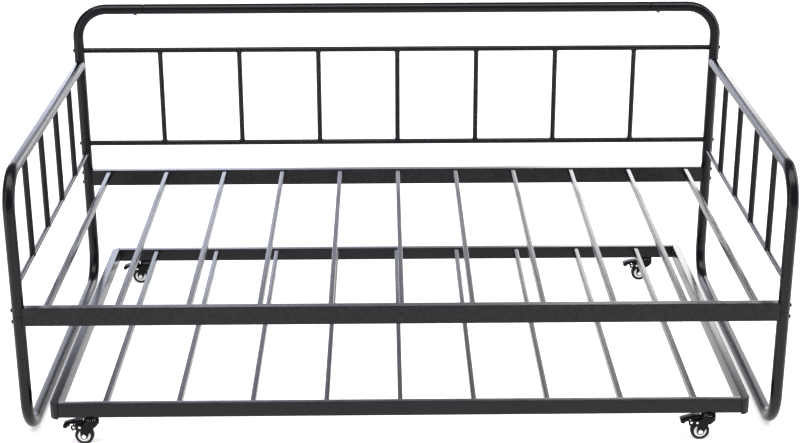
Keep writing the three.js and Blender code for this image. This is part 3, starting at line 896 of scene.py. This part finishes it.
def panel_bolts():
    """One bolt through each rear post into each end of the back panel's rails."""
    mesh = bmesh.new()
    for sign in SIDES.values():
        for z in (panel_low_z, panel_top_z):
            seat = Vector((sign * (post_x + post_r), rear_y, z))
            screw_head(mesh, seat, X * sign, hexagon, POST_BOLT)
    add_piece("back_panel_bolts", mesh, COAT, "daybed")


def top_rail_screws():
    """A pan-head screw under the top tube beside each of its seams."""
    mesh = bmesh.new()
    for sign in SIDES.values():
        seat = Vector((sign * (top_seam_x + SCREW_PAST_SEAM), rear_y, top_z - post_r))
        screw_head(mesh, seat, -Z, cross, PAN_SCREW)
    add_piece("top_rail_screws", mesh, COAT, "daybed")


def rail_screws():
    """A flanged screw in the middle of the front seat rail and of the trundle's front rail."""
    for node, (body, height) in RAIL_SCREWS.items():
        low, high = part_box(node)
        seat = Vector(((low.x + high.x) / 2, low.y, (low.z + high.z) / 2 + height))
        mesh = bmesh.new()
        turned(mesh, SCREW_FLANGE, seat, Y)
        screw_head(mesh, seat - Y * SCREW_FLANGE_LIFT, -Y, cross, FLANGED_SCREW)
        add_piece(f"{node}_screw", mesh, COAT, body)


def trundle_bolts():
    """Bolts that tie the trundle's corners: one inside each end rail and one under it."""
    mesh = bmesh.new()
    for end, inward in (("front", Y), ("rear", -Y)):
        low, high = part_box(f"trundle_{end}_rail")
        centre = (low + high) / 2
        inner_y = high.y if inward.y > 0 else low.y
        for x in (low.x + CORNER_BOLT_INSET, high.x - CORNER_BOLT_INSET):
            screw_head(mesh, Vector((x, inner_y, centre.z)), inward, hexagon, CORNER_BOLT)
            screw_head(mesh, Vector((x, centre.y, low.z)), -Z, hexagon, CORNER_BOLT_UNDER)
    add_piece("trundle_corner_bolts", mesh, COAT, "trundle")


# ---------- casters ----------


def soften(corners, radius):
    """The outline with each corner rounded off."""
    found = []
    points = [Vector(corner) for corner in corners]
    for i, here in enumerate(points):
        back, on = points[i - 1] - here, points[(i + 1) % len(points)] - here
        start = here + back.normalized() * min(radius, back.length * 0.45)
        end = here + on.normalized() * min(radius, on.length * 0.45)
        found += [bezier(start, here, end, step / SOFT_STEPS) for step in range(SOFT_STEPS + 1)]
    return found


def plate(mesh, base, corners, low_y, high_y, edge=PLATE_EDGE):
    """A pressed part in side view, given a thickness across Y and rounded edges."""
    part = bmesh.new()
    rings = [[part.verts.new(base + X * x + Z * z + Y * y) for x, z in corners] for y in (low_y, high_y)]
    skin(part, rings)
    bmesh.ops.recalc_face_normals(part, faces=part.faces)
    rims = [e for e in part.edges if max(len(f.verts) for f in e.link_faces) > 4]
    bmesh.ops.bevel(
        part, geom=rims, offset=edge, segments=2, profile=0.5, affect="EDGES", clamp_overlap=True
    )
    held = bpy.data.meshes.new("plate")
    part.to_mesh(held)
    part.free()
    mesh.from_mesh(held)
    bpy.data.meshes.remove(held)


def arc_corners(centre, radius, start, end, steps):
    """Points round an arc in side view, its angles in radians from +X towards +Z."""
    angles = [start + (end - start) * step / steps for step in range(steps + 1)]
    return [(centre[0] + radius * math.cos(a), centre[1] + radius * math.sin(a)) for a in angles]


def caster_race(name, base):
    """Kingpin with its riveted head, the threaded stem and the upper race over the balls."""
    pin = bmesh.new()
    turned(pin, KINGPIN, base, Z)
    add_piece(f"{name}_kingpin", pin, ZINC, "trundle", f"{name}_stem")
    race = bmesh.new()
    turned(race, UPPER_RACE, base, Z)
    add_piece(f"{name}_upper_race", race, CASTER, "trundle")
    balls = bmesh.new()
    for i in range(BALLS):
        a = math.tau * i / BALLS
        spot = base + (X * math.cos(a) + Y * math.sin(a)) * BALL_RING + Z * BALL_Z
        bmesh.ops.create_icosphere(balls, subdivisions=2, radius=BALL_R, matrix=Matrix.Translation(spot))
    add_piece(f"{name}_balls", balls, ZINC, f"{name}_swivel")


def caster_fork(name, base, wheel):
    """Pressed crown and two legs that taper to the axle."""
    mesh = bmesh.new()
    turned(mesh, CROWN, base, Z)
    axle = (wheel.x - base.x, wheel.z)
    foot = arc_corners(axle, FORK_FOOT_R, *FORK_FOOT_ANGLES, FOOT_STEPS)
    corners = soften(FORK_FRONT, FORK_FRONT_ROUND) + foot + soften(FORK_BACK, FORK_BACK_ROUND)
    for sign in SIDES.values():
        ys = sorted((sign * FORK_INNER, sign * FORK_OUTER))
        plate(mesh, base, corners, *ys)
        turned(mesh, FORK_SWELL, wheel + Y * (sign * FORK_OUTER), Y * sign, THIN_SIDES)
    add_piece(f"{name}_fork_pressing", mesh, CASTER, f"{name}_swivel", f"{name}_fork")


def caster_wheel(name, wheel):
    """Axle bolt and nut, the pale core and the tyre."""
    bolt = bmesh.new()
    turned(bolt, AXLE, wheel, Y, THIN_SIDES)
    hex_nut(bolt, wheel + Y * AXLE_NUT_SEAT, Y, *AXLE_NUT)
    turned(bolt, AXLE_WASHER, wheel, Y, THIN_SIDES)
    add_piece(f"{name}_axle_bolt", bolt, ZINC, f"{name}_swivel", f"{name}_axle")
    core = bmesh.new()
    turned(core, mirrored(CORE_HALF), wheel, Y)
    add_piece(f"{name}_core", core, PALE, f"{name}_wheel", f"{name}_wheel_core")
    tread = bmesh.new()
    shoulder = arc_profile(TYRE_R - TYRE_SHOULDER, -TYRE_HALF + TYRE_SHOULDER, TYRE_SHOULDER, -90, 0, 6)
    turned(tread, mirrored([*TYRE_LIP, *shoulder, *TYRE_GROOVE]), wheel, Y, TYRE_SIDES)
    add_piece(f"{name}_tread", tread, RUBBER, f"{name}_wheel", f"{name}_tyre")


def mirrored(half):
    """A profile and its mirror image, closed on itself."""
    return [*half, *[(r, -h) for r, h in reversed(half)], half[0]]


def caster_pedal(name, base, wheel, hinge):
    """Ribbed tread with flanged sides and a curled lip, two cheeks, the brake pad and the rivets."""
    body = f"{name}_pedal"
    mesh = bmesh.new()
    plate(mesh, base, soften(TREAD, TREAD_ROUND), -TREAD_HALF, TREAD_HALF, edge=TREAD_EDGE)
    flange = soften(FLANGE, FLANGE_ROUND)
    for sign in SIDES.values():
        ys = sorted((sign * (TREAD_HALF - FLANGE_SHEET), sign * (TREAD_HALF + FLANGE_PROUD)))
        plate(mesh, base, flange, *ys)
    for x, z in TREAD_RIBS:
        turned(mesh, TREAD_RIB, base + X * x + Z * z, Y, RIB_SIDES)
    axle = (wheel.x - base.x, wheel.z)
    pad_arc = arc_corners(axle, PAD_REACH, *PAD_ANGLES, PAD_STEPS)
    cheek = pad_arc + soften(CHEEK_BACK, CHEEK_ROUND)
    for sign in SIDES.values():
        ys = sorted((sign * CHEEK_INNER, sign * CHEEK_OUTER))
        plate(mesh, base, cheek, *ys, edge=FINE_EDGE)
    pad = pad_arc + arc_corners(axle, PAD_REACH + PAD_THICKNESS, *PAD_ANGLES[::-1], PAD_STEPS)
    plate(mesh, base, pad, -CHEEK_OUTER, CHEEK_OUTER, edge=FINE_EDGE)
    add_piece(f"{name}_lever", mesh, CASTER, body, f"{name}_brake_pedal")
    pin = bmesh.new()
    rivet(pin, hinge, Y, FORK_OUTER + RIVET_PLAY, RIVET_PIN_R, RIVET_HEAD_R, RIVET_HEAD_HEIGHT)
    add_piece(f"{name}_pivot_rivet", pin, ZINC, body)
    spacer = bmesh.new()
    spot = base + X * SPACER[0] + Z * SPACER[1]
    rivet(spacer, spot, Y, FORK_OUTER, RIVET_PIN_R, RIVET_HEAD_R, RIVET_HEAD_HEIGHT)
    add_piece(f"{name}_spacer_rivet", spacer, ZINC, f"{name}_swivel")


def caster(name):
    swivel = pivot(f"{name}_swivel_turn")
    base = Vector((swivel.x, swivel.y, 0))
    wheel = pivot(f"{name}_wheel_spin")
    caster_race(name, base)
    caster_fork(name, base, wheel)
    caster_wheel(name, wheel)
    caster_pedal(name, base, wheel, pivot(f"{name}_brake_press"))


# ---------- floor and light ----------


def make_floor():
    bpy.ops.mesh.primitive_plane_add(size=FLOOR_SIZE, location=(0, 0, 0))
    floor = bpy.context.object
    floor.name = "floor"
    floor.data.materials.append(floor_paper())


def softbox(name, place, target, width, height, radiance, colour):
    data = bpy.data.lights.new(name, "AREA")
    data.shape = "RECTANGLE"
    data.size = width
    data.size_y = height
    data.energy = radiance * math.pi * width * height
    data.color = colour
    light = bpy.data.objects.new(name, data)
    light.location = place
    light.rotation_mode = "QUATERNION"
    light.rotation_quaternion = (Vector(target) - Vector(place)).to_track_quat("-Z", "Y")
    bpy.context.scene.collection.objects.link(light)


def make_light():
    """Soft sky, and boxes of light behind the bed, overhead and at its sides for the tubes to mirror."""
    world = bpy.data.worlds.new("studio")
    world.use_nodes = True
    background = world.node_tree.nodes["Background"]
    background.inputs["Color"].default_value = SKY_COLOUR
    background.inputs["Strength"].default_value = SKY_STRENGTH
    bpy.context.scene.world = world
    for name, box in SOFTBOXES.items():
        softbox(name, *box)


make_camera()
for side, sign in SIDES.items():
    leg_tube(side, sign)
    arm_frame(side, sign)
    rear_post(side, sign)
    trundle_side_rail(side, sign)
top_rail()
back_panel()
seat_rail("front", front_y)
seat_rail("rear", rear_y)
trundle_end_rail("front")
trundle_end_rail("rear")
slats("seat_slat", SEAT_SLATS, "daybed")
slats("trundle_slat", TRUNDLE_SLATS, "trundle")
seat_bolts()
seam_buttons()
panel_bolts()
top_rail_screws()
rail_screws()
trundle_bolts()
for name in CASTERS:
    caster(name)
make_floor()
make_light()
bpy.context.scene.view_settings.view_transform = "Standard"
